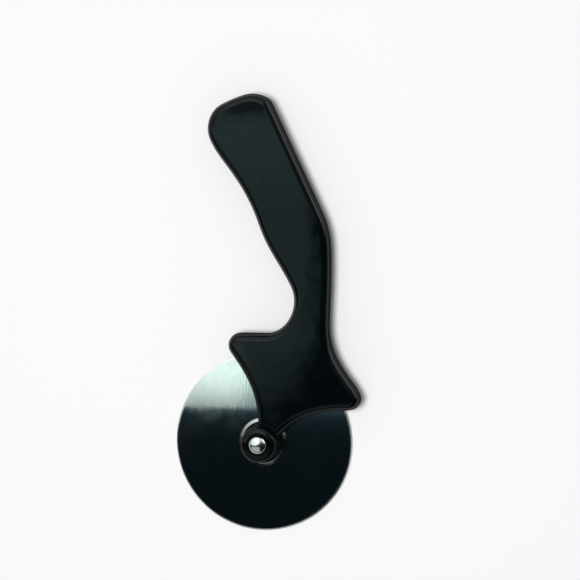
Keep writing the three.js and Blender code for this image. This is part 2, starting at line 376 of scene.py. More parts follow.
def softened(loop: Array, spread: float) -> Array:
    """Smooths a closed loop of evenly spaced points.

    Each harmonic of x + iy, of frequency f along the loop, is weighted by exp(-(2 pi f spread)^2 / 2).

    Args:
        loop: Points of the loop.
        spread: Width of the smoothing along the loop.

    Returns:
        The smoothed points.
    """
    spacing = np.linalg.norm(loop - np.roll(loop, 1, axis=0), axis=1).mean()
    frequency = np.fft.fftfreq(len(loop), spacing)
    weight = np.exp(-0.5 * (2.0 * np.pi * frequency * spread) ** 2)
    smooth = np.fft.ifft(np.fft.fft(loop[:, 0] + 1j * loop[:, 1]) * weight)
    return np.column_stack([smooth.real, smooth.imag])


def outward(loop: Array) -> Array:
    """Outward directions of a counterclockwise loop, one row of x and y for each point."""
    way = unit(np.roll(loop, -1, axis=0) - np.roll(loop, 1, axis=0))
    return np.column_stack([way[:, 1], -way[:, 0]])


def carried(loop: Array, rim: Array) -> Surface:
    """Carries a rim along a loop and closes it with flat faces.

    Point (i, j) lies at loop_j - inset_i * outward_j, at height_i.

    Args:
        loop: Points of the loop, counterclockwise.
        rim: One row of inset and height for each line of the rim.

    Returns:
        The closed slab.
    """
    flat = loop[None, :, :] - rim[:, None, :1] * outward(loop)[None, :, :]
    height = np.broadcast_to(rim[:, None, 1:], (*flat.shape[:2], 1))
    points = np.concatenate([flat, height], axis=-1).reshape(-1, 3)
    first = np.arange(len(loop))
    last = first + (len(rim) - 1) * len(loop)
    return Surface(points, grid_quads(len(rim), len(loop), ring=False), (first[::-1], last))


def inset_loop(loop: Array, inset: float, keep: float = 0.98) -> Array:
    """Moves a loop inwards and drops the points that come closer to it than a share of the inset."""
    moved = loop - inset * outward(loop)
    return moved[np.linalg.norm(moved[:, None] - loop[None], axis=-1).min(axis=1) > keep * inset]


# Node trees


class NodeSheet:
    """Writes nodes into one tree."""

    def __init__(self, tree: bpy.types.NodeTree) -> None:
        """Takes the tree and empties it."""
        self.tree = tree
        tree.nodes.clear()

    def add(self, kind: str, inputs: Inputs | None = None, **settings: object) -> bpy.types.Node:
        """Adds a node.

        Args:
            kind: Blender's name for the node's type, after the word ShaderNode.
            inputs: A value, or an output to link, for each named or numbered input.
            **settings: The node's own options.

        Returns:
            The node.
        """
        node = self.tree.nodes.new(f"ShaderNode{kind}")
        for option, choice in settings.items():
            setattr(node, option, choice)
        for key, value in (inputs or {}).items():
            if isinstance(value, Socket):
                self.tree.links.new(value, node.inputs[key])
            else:
                node.inputs[key].default_value = value
        return node

    def math(self, operation: str, *values: Value) -> Socket:
        """Adds a Math node and returns its output."""
        return self.add("Math", dict(enumerate(values)), operation=operation).outputs[0]

    def product(self, first: Value, *others: Value) -> Value:
        """Multiplies values and returns the output."""
        for other in others:
            first = self.math("MULTIPLY", first, other)
        return first

    def vector(self, operation: str, *values: Value) -> Socket:
        """Adds a Vector Math node and returns its output."""
        node = self.add("VectorMath", dict(enumerate(values)), operation=operation)
        return node.outputs["Value" if operation == "LENGTH" else "Vector"]

    def split(self, vector: Value) -> tuple[Socket, ...]:
        """Takes a vector apart and returns x, y and z."""
        return tuple(self.add("SeparateXYZ", {0: vector}).outputs)

    def radius(self, vector: Value) -> Socket:
        """Measures the distance from the wheel's axis and returns the output."""
        return self.vector("LENGTH", self.vector("MULTIPLY", vector, FLAT))

    def span(self, value: Value, begin: Value, end: Value, low: Value = 0.0, high: Value = 1.0) -> Socket:
        """Carries a value by a smooth step, as a Fade says, and returns the output."""
        inputs = {"Value": value, "From Min": begin, "From Max": end, "To Min": low, "To Max": high}
        return self.add("MapRange", inputs, interpolation_type="SMOOTHSTEP").outputs["Result"]

    def blend(self, share: Value, first: Value, second: Value) -> Socket:
        """Mixes two colours and returns the output."""
        return self.add("Mix", {0: share, 6: first, 7: second}, data_type="RGBA").outputs[2]

    def between(self, share: Value, first: Value, second: Value) -> Socket:
        """Mixes two values and returns the output."""
        return self.add("Mix", {0: share, 2: first, 3: second}, data_type="FLOAT").outputs[0]

    def noise(self, vector: Value, scale: Value, detail: float, rough: float = 0.5) -> Socket:
        """Adds a noise from 0 to 1 with finer layers and their strength, and returns the output."""
        inputs = {"Vector": vector, "Scale": scale, "Detail": detail, "Roughness": rough}
        return self.add("TexNoise", inputs).outputs[0]

    def bump(self, height: Value, distance: float, **under: Socket) -> Socket:
        """Adds a bump, over the Normal of another where one is given, and returns its normal."""
        return self.add("Bump", {"Height": height, "Distance": distance, **under}).outputs[0]

    def effect(self, effect: "Effect", spot: Socket, *values: float) -> Socket:
        """Places a shared effect with its values and returns its output."""
        return self.add("Group", dict(enumerate([spot, *values])), node_tree=effect.group()).outputs[0]


@dataclass(frozen=True)
class Falloff:
    """Brightness that is a product of smooth steps along each of three values."""

    x: tuple[Fade, ...] = ()
    y: tuple[Fade, ...] = ()
    z: tuple[Fade, ...] = ()

    def level(self, sheet: NodeSheet, way: Sequence[Socket]) -> Value:
        """Writes the product into a sheet and returns its output."""
        runs = zip(way, (self.x, self.y, self.z))
        return sheet.product(*(sheet.span(value, *step) for value, steps in runs for step in steps))


@dataclass(frozen=True)
class Effect:
    """An effect that finishes share: a node group that reads a vector and some values and puts out one."""

    name: str
    values: tuple[str, ...]  # names of the value inputs
    output: str
    recipe: Callable[[NodeSheet, Given], Socket]  # writes the nodes from the inputs to the output

    def group(self) -> bpy.types.NodeTree:
        """Builds the group, the first time that it is asked for.

        Returns:
            The group.
        """
        group = bpy.data.node_groups.get(self.name)
        if group is not None:
            return group
        group = bpy.data.node_groups.new(self.name, "ShaderNodeTree")
        group.interface.new_socket("Vector", in_out="INPUT", socket_type="NodeSocketVector")
        for value in self.values:
            group.interface.new_socket(value, in_out="INPUT", socket_type="NodeSocketFloat")
        group.interface.new_socket(self.output, in_out="OUTPUT", socket_type="NodeSocketFloat")
        sheet = NodeSheet(group)
        given = group.nodes.new("NodeGroupInput").outputs
        out = group.nodes.new("NodeGroupOutput").inputs
        made = self.recipe(sheet, {socket.name: socket for socket in given})
        group.links.new(made, out[self.output])
        return group


def smudges(sheet: NodeSheet, given: Given) -> Socket:
    """Soft cloudy patches, 0 to 1: a layered noise with its middle range spread."""
    cloud = sheet.noise(given["Vector"], given["Scale"], *CLOUD)
    return sheet.span(cloud, given["Low"], given["High"])


def specks(sheet: NodeSheet, given: Given) -> Socket:
    """Scattered dust: discs in some cells of a random pattern in X and Y, picked by the cell's colour.

    Args:
        sheet: The group's sheet.
        given: The group's inputs.

    Returns:
        The mask.
    """
    inputs = {"Vector": given["Vector"], "Scale": given["Scale"]}
    cells = sheet.add("TexVoronoi", inputs, voronoi_dimensions="2D").outputs
    disc = sheet.span(cells["Distance"], given["Size"], 0.0)
    hue = sheet.add("SeparateColor", {0: cells["Color"]}).outputs[0]
    return sheet.product(disc, sheet.math("LESS_THAN", hue, given["Share"]))


def brushing(sheet: NodeSheet, given: Given) -> Socket:
    """Fine straight grain along Y: a noise that is stretched along it.

    Args:
        sheet: The group's sheet.
        given: The group's inputs.

    Returns:
        The height.
    """
    x, y, z = sheet.split(given["Vector"])
    slow = sheet.math("DIVIDE", y, given["Stretch"])
    stretched = sheet.add("CombineXYZ", {0: x, 1: slow, 2: z}).outputs[0]
    return sheet.noise(stretched, given["Scale"], *GRAIN)


def rings(sheet: NodeSheet, given: Given) -> Socket:
    """Turning marks round the axis: a noise of the distance from it, with a slow wander round it.

    Args:
        sheet: The group's sheet.
        given: The group's inputs.

    Returns:
        The height.
    """
    way = sheet.vector("NORMALIZE", sheet.vector("MULTIPLY", given["Vector"], FLAT))
    wander = sheet.vector("MULTIPLY", way, (WANDER, WANDER, WANDER))
    upright = sheet.add("CombineXYZ", {2: sheet.radius(given["Vector"])}).outputs[0]
    return sheet.noise(sheet.vector("ADD", wander, upright), given["Scale"], *GRAIN)


def scratches(sheet: NodeSheet, given: Given) -> Socket:
    """Hair-thin marks in patches: a turned and much stretched plain noise, near its middle value.

    Args:
        sheet: The group's sheet.
        given: The group's inputs.

    Returns:
        The mask.
    """
    askew = sheet.add("VectorRotate", {"Vector": given["Vector"], "Angle": SCRATCH_TURN}).outputs[0]
    line = sheet.noise(sheet.vector("MULTIPLY", askew, SCRATCH_DRAW), given["Scale"], 0.0)
    off = sheet.math("ABSOLUTE", sheet.math("SUBTRACT", line, 0.5))
    patch = sheet.span(sheet.noise(given["Vector"], *SCRATCH_PATCHES), *SCRATCH_SHARE)
    return sheet.product(sheet.span(off, given["Width"], 0.0), patch)


SMUDGES = Effect("smudges", ("Scale", "Low", "High"), "Mask", smudges)
SPECKS = Effect("dust_specks", ("Scale", "Size", "Share"), "Mask", specks)
BRUSHING = Effect("brushing", ("Scale", "Stretch"), "Height", brushing)
RINGS = Effect("turning_rings", ("Scale",), "Height", rings)
SCRATCHES = Effect("hair_scratches", ("Scale", "Width"), "Mask", scratches)


# Finishes


def new_material(name: str) -> tuple[Material, NodeSheet, Socket]:
    """Begins a material.

    Args:
        name: Name of the material.

    Returns:
        The material, its sheet and the Object coordinates.
    """
    material = bpy.data.materials.new(name)
    material.use_nodes = True
    sheet = NodeSheet(material.node_tree)
    return material, sheet, sheet.add("TexCoord").outputs["Object"]


def shade(sheet: NodeSheet, inputs: Inputs) -> None:
    """Ends a material with its shader, which gets the values and links."""
    shader = sheet.add("BsdfPrincipled", inputs)
    sheet.add("OutputMaterial", {"Surface": shader.outputs[0]})


@dataclass(frozen=True)
class GlossPlastic:
    """Moulded black plastic: glossy and a little wavy, with satin walls, handling marks and dust."""

    deep: Colour = (0.0010, 0.0024, 0.0029, 1.0)
    worn: Colour = (0.0020, 0.0038, 0.0044, 1.0)
    dust: Colour = (0.13, 0.15, 0.145, 1.0)
    marks: Triple = (60.0, 0.42, 0.7)  # frequency, and the noise at which a mark begins and is full
    specks: Triple = (170.0, 0.032, 0.09)  # frequency, size in a cell and share of the cells
    dusty: Fade = Fade(0.2, 0.0)  # steepness at which dust stays
    gloss: Fade = Fade(0.0, 1.0, 0.055, 0.12)  # roughness over the marks
    satin: float = 0.95
    satin_steep: Pair = (0.42, 0.75)  # steepness over which the walls turn satin
    specular: float = 0.2
    wave: Pair = (140.0, 1.0)  # frequency and finer layers
    wave_height: float = 0.00003
    grain: Pair = (2600.0, 2.0)  # frequency and finer layers
    grain_height: float = 0.000002

    def material(self) -> Material:
        """Builds the material.

        Returns:
            The material.
        """
        material, sheet, spot = new_material("gloss_black_plastic")
        steep = sheet.add("Attribute", attribute_name=STEEP).outputs["Fac"]
        marks = sheet.effect(SMUDGES, spot, *self.marks)
        dust = sheet.product(sheet.effect(SPECKS, spot, *self.specks), sheet.span(steep, *self.dusty))
        wavy = sheet.bump(sheet.noise(spot, *self.wave), self.wave_height)
        shade(sheet, {
            "Base Color": sheet.blend(dust, sheet.blend(marks, self.deep, self.worn), self.dust),
            "Roughness": sheet.span(steep, *self.satin_steep, sheet.span(marks, *self.gloss), self.satin),
            "Specular IOR Level": self.specular,
            "Normal": sheet.bump(sheet.noise(spot, *self.grain), self.grain_height, Normal=wavy),
        })
        return material


@dataclass(frozen=True)
class BladeSteel:
    """Polished sheet steel of the wheel: straight grain, faint clouding, hair scratches and a ground rim."""

    rim_from: float
    rim_soft: float = 0.00006
    bright: Colour = (0.70, 0.71, 0.71, 1.0)
    dull: Colour = (0.58, 0.60, 0.60, 1.0)
    ground: Colour = (0.93, 0.93, 0.92, 1.0)
    scratch: Colour = (0.86, 0.87, 0.87, 1.0)
    grain: Pair = (1500.0, 14.0)  # frequency and stretch
    grain_share: float = 0.6  # in the tone, where clouds have the rest
    grain_height: float = 0.000008
    clouds: Triple = (75.0, 0.4, 0.72)  # frequency, and the noise at which a cloud begins and is full
    scratches: Pair = (260.0, 0.006)  # frequency and width
    rings: float = 5200.0  # frequency
    polish: Fade = Fade(0.0, 1.0, 0.028, 0.055)  # roughness over clouds and scratches
    ground_rough: Fade = Fade(0.3, 0.7, 0.18, 0.3)  # roughness over the rim's rings

    def material(self) -> Material:
        """Builds the material.

        Returns:
            The material.
        """
        material, sheet, spot = new_material("polished_blade_steel")
        grain = sheet.effect(BRUSHING, spot, *self.grain)
        clouds = sheet.effect(SMUDGES, spot, *self.clouds)
        marks = sheet.effect(SCRATCHES, spot, *self.scratches)
        ground = sheet.effect(RINGS, spot, self.rings)
        rim = sheet.span(sheet.radius(spot), self.rim_from - self.rim_soft, self.rim_from + self.rim_soft)
        metal = sheet.blend(sheet.between(self.grain_share, clouds, grain), self.bright, self.dull)
        polish = sheet.span(sheet.math("MAXIMUM", clouds, marks), *self.polish)
        shade(sheet, {
            "Base Color": sheet.blend(rim, sheet.blend(marks, metal, self.scratch), self.ground),
            "Metallic": 1.0,
            "Roughness": sheet.between(rim, polish, sheet.span(ground, *self.ground_rough)),
            "Normal": sheet.bump(sheet.between(rim, grain, ground), self.grain_height),
        })
        return material


@dataclass(frozen=True)
class TurnedSteel:
    """Bright or plain steel of the small round pieces, with turning or pressing marks round the axis, and
    painted shade: a dark ring beyond a radius, which on the rivet shades the rim of its head in the seat.
    """

    name: str
    bright: Colour
    dull: Colour
    rough: Pair  # of the polish and of the marks
    ring_height: float
    painted_shade_r: Pair = (0.1, 0.11)  # radii over which the painted shade sets in, by default beyond the piece
    # painted shade: the dark colour of the ring at the rim of the rivet's head, where it sits in the seat
    painted_shade: Colour = (0.13, 0.13, 0.12, 1.0)
    rings: float = 3800.0  # frequency
    marks: Triple = (420.0, 0.42, 0.75)  # frequency, and the noise at which a mark begins and is full
    mark_share: float = 0.5  # in the tone, where rings have the rest
    tones: Pair = (0.1, 0.9)  # tone over which the roughness grows

    def material(self) -> Material:
        """Builds the material.

        Returns:
            The material.
        """
        material, sheet, spot = new_material(self.name)
        lines = sheet.effect(RINGS, spot, self.rings)
        tone = sheet.between(self.mark_share, lines, sheet.effect(SMUDGES, spot, *self.marks))
        # painted shade: darkens the metal beyond a radius, the rim of the rivet's head in its seat
        edge = sheet.span(sheet.radius(spot), *self.painted_shade_r)
        shade(sheet, {
            "Base Color": sheet.blend(edge, sheet.blend(tone, self.bright, self.dull), self.painted_shade),
            "Metallic": 1.0,
            "Roughness": sheet.span(tone, *self.tones, *self.rough),
            "Normal": sheet.bump(lines, self.ring_height),
        })
        return material


RIVET_FINISH = TurnedSteel(
    "polished_rivet_steel", (0.88, 0.88, 0.87, 1.0), (0.74, 0.75, 0.74, 1.0), (0.16, 0.30), 0.000004,
    # painted shade round the rim of the head, where it sits in its seat
    painted_shade_r=(0.0029, 0.0034),
)
PLAIN_FINISH = TurnedSteel(
    "plain_turned_steel", (0.52, 0.53, 0.54, 1.0), (0.38, 0.39, 0.40, 1.0), (0.26, 0.46), 0.000006
)
PRESSED_FINISH = TurnedSteel(
    "bright_pressed_steel", (0.58, 0.58, 0.55, 1.0), (0.47, 0.48, 0.45, 1.0), (0.04, 0.09), 0.000002
)


# Handle


@dataclass(frozen=True)
class Guard:
    """Two-horned finger guard, measured from the wheel's axis."""

    top: float = 43.0
    tip_in: float = 1.4
    tip_rise: float = 1.1
    tip_heading: float = 54.0
    left_reach: float = 11.85
    left_round: float = 4.4
    left_flank_in: float = 1.8
    left_flank_drop: float = 4.0
    left_flank_heading: float = 306.0
    right_reach: float = 40.0
    right_rise: float = 18.2
    right_round: float = 4.0
    right_flat: float = 1.6
    right_top_in: float = 2.0
    right_heading: float = 128.0
    fillet_share: float = 0.52

    def right_horn(self, boss_r: float) -> list[Triple]:
        """Draws the lower right edge and the right horn.

        Args:
            boss_r: Radius of the boss, where they begin.

        Returns:
            Their knots.
        """
        reach, rise, bend = self.right_reach, self.right_rise, self.right_round
        return [
            (boss_r - self.tip_in, self.tip_rise, self.tip_heading),
            (reach - bend - self.right_flat, rise - bend, Heading.RIGHT),
            (reach, rise, Heading.UP),
            (reach - self.right_top_in, rise + bend, self.right_heading),
        ]

    def left_horn(self, boss_r: float, waist_left: float) -> list[Triple]:
        """Draws the upper edge, the left horn and the flank down to the boss.

        Args:
            boss_r: Radius of the boss.
            waist_left: Where the waist's finger edge is.

        Returns:
            Their knots.
        """
        start = self.left_round - self.left_reach
        fillet_end = waist_left + (start - waist_left) * self.fillet_share
        bottom = self.top - self.left_round
        flank_x = self.left_flank_in - self.left_reach
        return [
            (fillet_end, self.top, Heading.LEFT),
            (start, self.top, Heading.LEFT),
            (-self.left_reach, bottom, Heading.DOWN),
            (flank_x, bottom - self.left_flank_drop, self.left_flank_heading),
            (0.0, boss_r, Heading.DOWN),
            (0.0, boss_r - self.tip_in, Heading.DOWN),
        ]


@dataclass(frozen=True)
class Waist:
    """Narrow place between guard and grip."""

    x: float = 20.7
    above_guard: float = 13.0
    width: float = 13.0
    straight: float = 9.8
    hip_above: float = 12.0
    hip_out: float = 0.6
    neck_above: float = 9.6
    neck_in: float = 3.4
    neck_heading: float = 299.0

    @property
    def left(self) -> float:
        """Where the finger edge is."""
        return self.x - self.width / 2

    @property
    def right(self) -> float:
        """Where the back edge is."""
        return self.x + self.width / 2


@dataclass(frozen=True)
class Grip:
    """Leaning grip, measured along its back edge from the shoulder."""

    shoulder_above_waist: float = 34.3
    shoulder_in: float = 2.9
    lean: float = 25.2
    length: float = 54.0
    width: float = 23.4
    narrow_share: float = 0.24
    belly_rise: float = 0.7
    flare: float = 3.85
    flare_place: float = 0.52
    flare_rise: float = 0.36
    flare_turn: float = 10.0
    back_round: float = 8.0
    finger_round: float = 10.4
    corner_share: float = 0.36
    pins: int = 3
    pin_span_share: float = 0.76

    def knot(self, shoulder: Pair, along: float, across: float, turn: float) -> Triple:
        """Finds a knot of the grip.

        Args:
            shoulder: Where the grip's back edge begins.
            along: Distance from the shoulder towards the butt.
            across: Distance from the back edge towards the finger edge.
            turn: Heading, from the direction of the back edge.

        Returns:
            The knot.
        """
        lean = math.radians(self.lean)
        x = shoulder[0] - along * math.sin(lean) - across * math.cos(lean)
        y = shoulder[1] + along * math.cos(lean) - across * math.sin(lean)
        return (x, y, Heading.UP + self.lean + turn)

    def edge(self, shoulder: Pair) -> list[Triple]:
        """Draws the grip up its back edge, round the butt and down its finger edge.

        Args:
            shoulder: Where the back edge begins.

        Returns:
            The knots.
        """
        butt = self.width + self.flare
        corner = butt * self.corner_share
        flare_w = self.width + self.flare * self.flare_rise
        across_butt, to_waist = Heading.UP, Heading.LEFT
        places = [
            (0.0, 0.0, 0.0),
            (self.length - self.back_round, 0.0, 0.0),
            (self.length, corner, across_butt),
            (self.length, butt - corner, across_butt),
            (self.length - self.finger_round, butt, to_waist),
            (self.length * self.flare_place, flare_w, to_waist + self.flare_turn),
            (self.length * self.narrow_share, self.width, to_waist),
            (0.0, self.width + self.belly_rise, to_waist),
        ]
        return [self.knot(shoulder, *spot) for spot in places]


@dataclass(frozen=True)
class Boss:
    """Round boss that holds the rivet's head, with a groove round it in the front face."""

    hole_r: float = 2.3
    hole_round: float = 0.08
    hole_stop: float = 0.2  # how far below the seat the hole is cleared
    seat_r: float = 4.2
    seat_depth: float = 0.5
    seat_round: float = 0.25
    outer_r: float = 7.2
    rim_round: float = 2.6
    back_round: float = 0.3
    inner_round: float = 0.05
    inner_hole_round: float = 0.02
    round_steps: int = 9
    proud: float = 0.2
    groove_r: float = 8.4
    groove_floor: float = 2.0
    groove_round: float = 0.5
    groove_steps: int = 6


@dataclass
class Handle:
    """Two moulded half shells that make the grip, the waist, the guard and the pivot boss."""

    guard: Guard = field(default_factory=Guard)
    waist: Waist = field(default_factory=Waist)
    grip: Grip = field(default_factory=Grip)
    boss: Boss = field(default_factory=Boss)
    edge_in: float = 3.1
    edge_steps: int = 22
    face_line: float = 0.08  # further in than the edge, keeps the face flat in shading
    outline_in: float = 0.04
    outline_out: float = 0.42
    outline_ease: float = 3.0
    seam_round: float = 0.14
    seam_steps: int = 4
    seam_line: float = 0.56  # inset of the seam's inner line
    seam_gap: float = 0.1
    wall: float = 2.0
    pin_r: float = 1.1
    pin_steps: int = 32
    socket_r: float = 1.4
    post_r: float = 2.6
    run_gap: float = 0.3
    hair: float = 0.01  # keeps faces that are joined from lying in one plane
    beyond: float = 1.0  # how far what cuts reaches past what is cut
    curve_pull: float = 0.38
    curve_steps: int = 60
    loop_points: int = 1100
    loop_soft: float = 0.5
    hub_steps: int = 40
    round_steps: int = 96

    def __post_init__(self) -> None:
        """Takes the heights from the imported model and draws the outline."""
        rear_low, _ = box_mm("rear_shell")
        front_low, self.ends = box_mm("front_shell")
        self.back_z = rear_low.z
        self.front_bottom_z = front_low.z
        self.rear_top_z = self.front_bottom_z - self.seam_gap
        self.boss_top_z = self.ends.z
        self.front_z = self.boss_top_z - self.boss.proud
        self.groove_z = self.front_bottom_z - self.seam_gap / 2 + self.boss.groove_floor
        self.waist_y = self.guard.top + self.waist.above_guard
        shoulder_x = self.waist.right - self.grip.shoulder_in
        self.shoulder = (shoulder_x, self.waist_y + self.grip.shoulder_above_waist)
        self.loop = self._outline()

    def _outline(self) -> Array:
        """Draws the handle's outline.

        Returns:
            Its points, evenly spaced and counterclockwise from the lower tip.
        """
        waist, waist_y = self.waist, self.waist_y
        knots = [
            *self.guard.right_horn(self.boss.outer_r),
            (waist.right, waist_y - waist.straight, Heading.UP),
            (waist.right + waist.hip_out, waist_y + waist.hip_above, Heading.UP),
            *self.grip.edge(self.shoulder),
            (waist.left - waist.neck_in, waist_y + waist.neck_above, waist.neck_heading),
            (waist.left, waist_y, Heading.DOWN),
            *self.guard.left_horn(self.boss.outer_r, waist.left),
        ]
        curve = curve_through(knots, self.curve_pull, self.curve_steps)
        return self._eased(softened(evenly_spaced(curve, self.loop_points), self.loop_soft))

    def _eased(self, loop: Array) -> Array:
        """Moves the outline out a little, and slightly in where it comes to the box's right and upper ends.

        The shift is out * s - in * (1 - s), with s the smooth step 3t^2 - 2t^3 of the room to the nearer end.

        Args:
            loop: Points of the outline.

        Returns:
            The moved points.
        """
        room = np.minimum(self.ends.x - loop[:, 0], self.ends.y - loop[:, 1])
        t = np.clip(room / self.outline_ease, 0.0, 1.0)
        share = t * t * (3.0 - 2.0 * t)
        shift = self.outline_out * share - self.outline_in * (1.0 - share)
        return loop + shift[:, None] * outward(loop)

    def _rim(self, face_z: float, seam_z: float) -> Array:
        """Draws the rim of one shell, from its outer face to the seam.

        The edge is a quarter ellipse with inset p(1 - sin a) and depth q(1 - cos a), which is upright at the
        seam, and a small quarter circle leads into the seam.

        Args:
            face_z: Height of the outer face.
            seam_z: Height of the seam.

        Returns:
            One row of inset and height for each line.
        """
        side = math.copysign(1.0, face_z - seam_z)
        angle = np.linspace(0.0, QUARTER, self.edge_steps)
        small = np.linspace(0.0, QUARTER, self.seam_steps)
        inset, soft = self.edge_in, self.seam_round
        depth = abs(face_z - seam_z) - soft
        edge = np.column_stack([inset * (1 - np.sin(angle)), face_z - side * depth * (1 - np.cos(angle))])
        seam = np.column_stack([soft * (1 - np.cos(small)), seam_z + side * soft * (1 - np.sin(small))])
        return np.vstack([[[inset + self.face_line, face_z]], edge, seam, [[self.seam_line, seam_z]]])

    def _hollow(self, bottom_z: float, top_z: float) -> Surface:
        """Makes the space inside a shell, which leaves its wall and a solid hub round the boss.

        Args:
            bottom_z: Lower end of the space.
            top_z: Upper end of the space.

        Returns:
            The space as a slab.
        """
        kept = self.loop[np.linalg.norm(self.loop, axis=1) > self.boss.groove_r]
        start = math.atan2(kept[-1, 1], kept[-1, 0])
        end = math.atan2(kept[0, 1], kept[0, 0])
        angle = np.linspace(start, end, self.hub_steps)
        arc = self.boss.groove_r * np.column_stack([np.cos(angle), np.sin(angle)])
        loop = evenly_spaced(np.vstack([kept, arc]), self.loop_points)
        inner = evenly_spaced(inset_loop(loop, self.wall), self.loop_points // 2)
        return carried(inner, np.array([[0.0, top_z], [0.0, bottom_z]]))

    def _at_pins(self, section: Sequence[Pair]) -> Surface:
        """Turns a section at each locating pin: one in each horn and a row along the grip's middle.

        Args:
            section: Radius and height of its points.

        Returns:
            The turned surfaces.
        """
        guard, grip = self.guard, self.grip
        pitch = grip.length * grip.pin_span_share / (grip.pins - 1)
        row = [grip.knot(self.shoulder, pitch * i, grip.width / 2, 0.0)[:2] for i in range(grip.pins)]
        left = (guard.left_round - guard.left_reach, guard.top - guard.left_round)
        right = (guard.right_reach - guard.right_round, guard.right_rise)
        return gathered([turned(np.array(section), self.pin_steps, spot) for spot in (left, right, *row)])

    def _bar(self, radius: float, bottom_z: float, top_z: float) -> Surface:
        """A plain round bar on the wheel's axis, for cutting."""
        section = np.array([[0.0, bottom_z], [radius, bottom_z], [radius, top_z], [0.0, top_z]])
        return turned(section, self.round_steps)

    def _groove(self) -> Surface:
        """Makes what is cut out round the boss.

        Returns:
            A bar that flares by a quarter circle at the front face, so that the edge there is rounded.
        """
        boss = self.boss
        angle = np.linspace(0.0, QUARTER, boss.groove_steps)
        lip_r = boss.groove_r + boss.groove_round * (1 - np.cos(angle))
        lip_z = self.front_z + self.hair - boss.groove_round * (1 - np.sin(angle))
        above = self.boss_top_z + self.beyond
        section = np.vstack([
            [[0.0, self.groove_z], [boss.groove_r, self.groove_z]],
            np.column_stack([lip_r, lip_z]),
            [[lip_r[-1] + self.beyond, above], [0.0, above]],
        ])
        return turned(section, self.round_steps)

    def front_mesh(self) -> Mesh:
        """Makes the front shell.

        Returns:
            Its mesh: a slab with a rounded edge, the boss in its groove, the hollow and the pins' sockets.
        """
        boss, top_z = self.boss, self.boss_top_z
        seat_z = top_z - boss.seat_depth
        bottom_z = self.front_bottom_z + self.hair
        under_z = self.front_bottom_z - self.beyond
        ceiling_z = self.front_z - self.wall
        socket_z = ceiling_z + self.run_gap
        boss_section = rounded_section([
            (boss.hole_r, bottom_z, boss.inner_hole_round),
            (boss.outer_r, bottom_z, boss.inner_round),
            (boss.outer_r, top_z, boss.rim_round),
            (boss.seat_r, top_z, boss.seat_round),
            (boss.seat_r, seat_z, boss.hole_round),
            (boss.hole_r, seat_z, boss.hole_round),
        ], boss.round_steps)
        sockets = self._at_pins([
            (self.socket_r, bottom_z),
            (self.post_r, bottom_z),
            (self.post_r, socket_z),
            (self.socket_r, socket_z),
        ])
        return combined(carried(self.loop, self._rim(self.front_z, self.front_bottom_z)), [
            (Join.CUT, self._groove()),
            (Join.ADD, turned(boss_section, self.round_steps)),
            (Join.CUT, self._hollow(under_z, ceiling_z)),
            (Join.ADD, sockets),
            (Join.CUT, self._bar(boss.hole_r, under_z, seat_z - boss.hole_stop)),
        ], "front_shell_skin")

    def rear_mesh(self) -> Mesh:
        """Makes the rear shell.

        Returns:
            Its mesh: a slab with a rounded edge, the boss's back, the hollow and the pins on their posts.
        """
        boss = self.boss
        top_z = self.rear_top_z - self.hair
        over_z = self.rear_top_z + self.beyond
        boss_z = self.back_z + self.hair
        floor_z = self.back_z + self.wall
        post_z = floor_z - self.run_gap
        pin_top_z = self.front_z - self.wall - self.run_gap
        boss_section = rounded_section([
            (boss.hole_r, boss_z, boss.hole_round),
            (boss.outer_r, boss_z, boss.back_round),
            (boss.outer_r, top_z, boss.inner_round),
            (boss.hole_r, top_z, boss.inner_hole_round),
        ])
        posts = self._at_pins([
            (0.0, post_z),
            (self.post_r, post_z),
            (self.post_r, top_z),
            (self.pin_r, top_z),
            (self.pin_r, pin_top_z - self.run_gap),
            (self.pin_r - self.run_gap, pin_top_z),
            (0.0, pin_top_z),
        ])
        return combined(carried(self.loop, self._rim(self.back_z, self.rear_top_z)), [
            (Join.ADD, turned(boss_section, self.round_steps)),
            (Join.CUT, self._hollow(floor_z, over_z)),
            (Join.ADD, posts),
            (Join.CUT, self._bar(boss.hole_r, self.back_z - self.beyond, over_z)),
        ], "rear_shell_skin")

    def build(self) -> None:
        """Builds and dresses both shells."""
        plastic = GlossPlastic().material()
        for mesh, node in ((self.front_mesh(), "front_shell"), (self.rear_mesh(), "rear_shell")):
            mark_steepness(mesh)
            place(mesh, f"{node}_skin", Body.HANDLE, plastic, node)


# Axle


